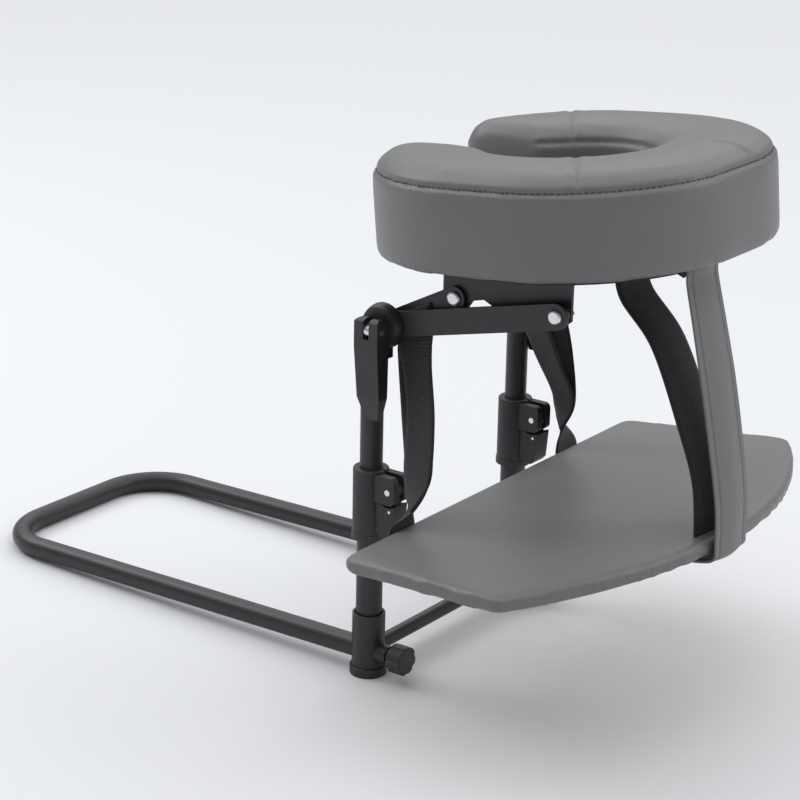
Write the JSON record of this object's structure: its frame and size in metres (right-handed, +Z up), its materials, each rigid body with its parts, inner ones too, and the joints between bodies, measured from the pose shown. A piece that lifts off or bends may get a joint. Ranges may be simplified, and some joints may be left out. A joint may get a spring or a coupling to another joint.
{
  "type": "mattress-top face cradle with arm shelf",
  "caption": "Face cradle with a horseshoe cushion on cam-locked arms, two telescopic posts, a bent-tube base that slides under a mattress, and a hanging padded arm shelf.",
  "frame": {"origin": "on the floor under the middle of the whole object's box", "axes": "+X from the base's far bar towards the cushion and shelf, +Y to the right-hand post, +Z up"},
  "size_m": [0.7412, 0.4556, 0.4717],
  "materials": {
    "frame": "satin black powder coat",
    "plastic": "moulded, fine texture",
    "zinc": "bright zinc",
    "board": "raw plywood",
    "dark_board": "black painted plywood",
    "vinyl": "grey vinyl over foam or board",
    "webbing": "ribbed black webbing",
    "hook_tape": "black hook-and-loop tape"
  },
  "bodies": {
    "base": {"base_rail": "frame", "cross_bar": "frame", "socket_nuts": "frame", "socket_left": "frame", "socket_right": "frame", "foot_cap_left": "plastic", "foot_cap_right": "plastic"},
    "knob_left": {"clamp_knob_left": "plastic", "clamp_screw_left": "zinc"},
    "knob_right": {"clamp_knob_right": "plastic", "clamp_screw_right": "zinc"},
    "lower_posts": {"lower_post_left": "frame", "lower_post_right": "frame", "lock_collar_left": "plastic", "lock_collar_right": "plastic", "lock_pin_left": "zinc", "lock_pin_right": "zinc"},
    "lock_lever_left": {"lock_lever_left": "plastic", "lever_rivet_left": "zinc"},
    "lock_lever_right": {"lock_lever_right": "plastic", "lever_rivet_right": "zinc"},
    "upper_posts": {"upper_post_left": "frame", "upper_post_right": "frame", "post_head_left": "frame", "post_head_right": "frame", "cam_bolts": "zinc", "cam_nuts": "zinc"},
    "cam_lever_left": {"cam_lever_left": "frame", "cam_pin_left": "zinc"},
    "cam_lever_right": {"cam_lever_right": "frame", "cam_pin_right": "zinc"},
    "arms": {"front_arm_left": "frame", "front_arm_right": "frame", "front_bolts": "zinc", "front_nuts": "zinc", "front_spacers": "zinc"},
    "platform": {"side_bracket_left": "frame", "side_bracket_right": "frame", "platform_plate": "dark_board", "hook_pads": "hook_tape", "bracket_screws": "zinc", "rear_bolts": "zinc", "rear_nuts": "zinc", "face_cushion": "vinyl"},
    "rear_struts": {"rear_strut_left": "frame", "rear_strut_right": "frame"},
    "side_straps": {"side_strap_left": "webbing", "side_strap_right": "webbing"},
    "shelf": {"shelf_board": "board", "shelf_pad": "vinyl", "strap_tab_left": "webbing", "strap_tab_right": "webbing"},
    "front_strap": {"front_strap": "vinyl", "hook_tail": "hook_tape"}
  },
  "joints": [
    {"name": "knob_turn_left", "type": "hinge", "parent": "base", "child": "knob_left", "pos_m": [0.11515, -0.1055, 0.021], "axis": [1, 0, 0], "range_deg": [0, 360]},
    {"name": "knob_turn_right", "type": "hinge", "parent": "base", "child": "knob_right", "pos_m": [0.11515, 0.1055, 0.021], "axis": [1, 0, 0], "range_deg": [0, 360]},
    {"name": "lower_post_rise", "type": "slide", "parent": "base", "child": "lower_posts", "axis": [0, 0, 1], "range_m": [0, 0.03]},
    {"name": "lock_lever_open_left", "type": "hinge", "parent": "lower_posts", "child": "lock_lever_left", "pos_m": [0.10515, -0.1055, 0.171], "axis": [0, -1, 0], "range_deg": [0, 34]},
    {"name": "lock_lever_open_right", "type": "hinge", "parent": "lower_posts", "child": "lock_lever_right", "pos_m": [0.10515, 0.1055, 0.176], "axis": [0, -1, 0], "range_deg": [0, 34]},
    {"name": "height", "type": "slide", "parent": "lower_posts", "child": "upper_posts", "axis": [0, 0, 1], "range_m": [-0.02, 0.09]},
    {"name": "cam_lever_open_left", "type": "hinge", "parent": "upper_posts", "child": "cam_lever_left", "pos_m": [0.09265, -0.1248, 0.3102], "axis": [-1, 0, 0], "range_deg": [0, 90]},
    {"name": "cam_lever_open_right", "type": "hinge", "parent": "upper_posts", "child": "cam_lever_right", "pos_m": [0.09265, 0.1248, 0.3102], "axis": [1, 0, 0], "range_deg": [0, 90]},
    {"name": "arm_swing", "type": "hinge", "parent": "upper_posts", "child": "arms", "pos_m": [0.09265, 0, 0.3102], "axis": [0, -1, 0], "range_deg": [-12, 20]},
    {"name": "platform_tilt", "type": "hinge", "parent": "arms", "child": "platform", "pos_m": [0.25395, 0, 0.3488], "axis": [0, -1, 0], "range_deg": [-6, 6]},
    {"name": "strut_turn", "type": "hinge", "parent": "platform", "child": "rear_struts", "pos_m": [0.15485, 0, 0.343], "axis": [0, -1, 0], "range_deg": [-13.8, 13.8]},
    {"name": "strap_swing", "type": "hinge", "parent": "arms", "child": "side_straps", "pos_m": [0.11865, 0, 0.324], "axis": [0, -1, 0], "range_deg": [-20.1, 12.1], "deforming": ["side_strap_left", "side_strap_right"]},
    {"name": "shelf_tilt", "type": "hinge", "parent": "side_straps", "child": "shelf", "pos_m": [0.12765, 0, 0.146], "axis": [0, -1, 0], "range_deg": [-11, 18.3]},
    {"name": "front_strap_swing", "type": "hinge", "parent": "shelf", "child": "front_strap", "pos_m": [0.36515, 0, 0.16], "axis": [0, -1, 0], "range_deg": [-14.7, 8.9], "deforming": ["front_strap", "hook_tail"]}
  ],
  "couplings": [
    {"joint": "strut_turn", "follows": "platform_tilt", "ratio": -2.2772},
    {"joint": "strap_swing", "follows": "arm_swing", "ratio": -1},
    {"joint": "shelf_tilt", "follows": "arm_swing", "ratio": 0.9027},
    {"joint": "front_strap_swing", "follows": "arm_swing", "ratio": -0.7215}
  ]
}
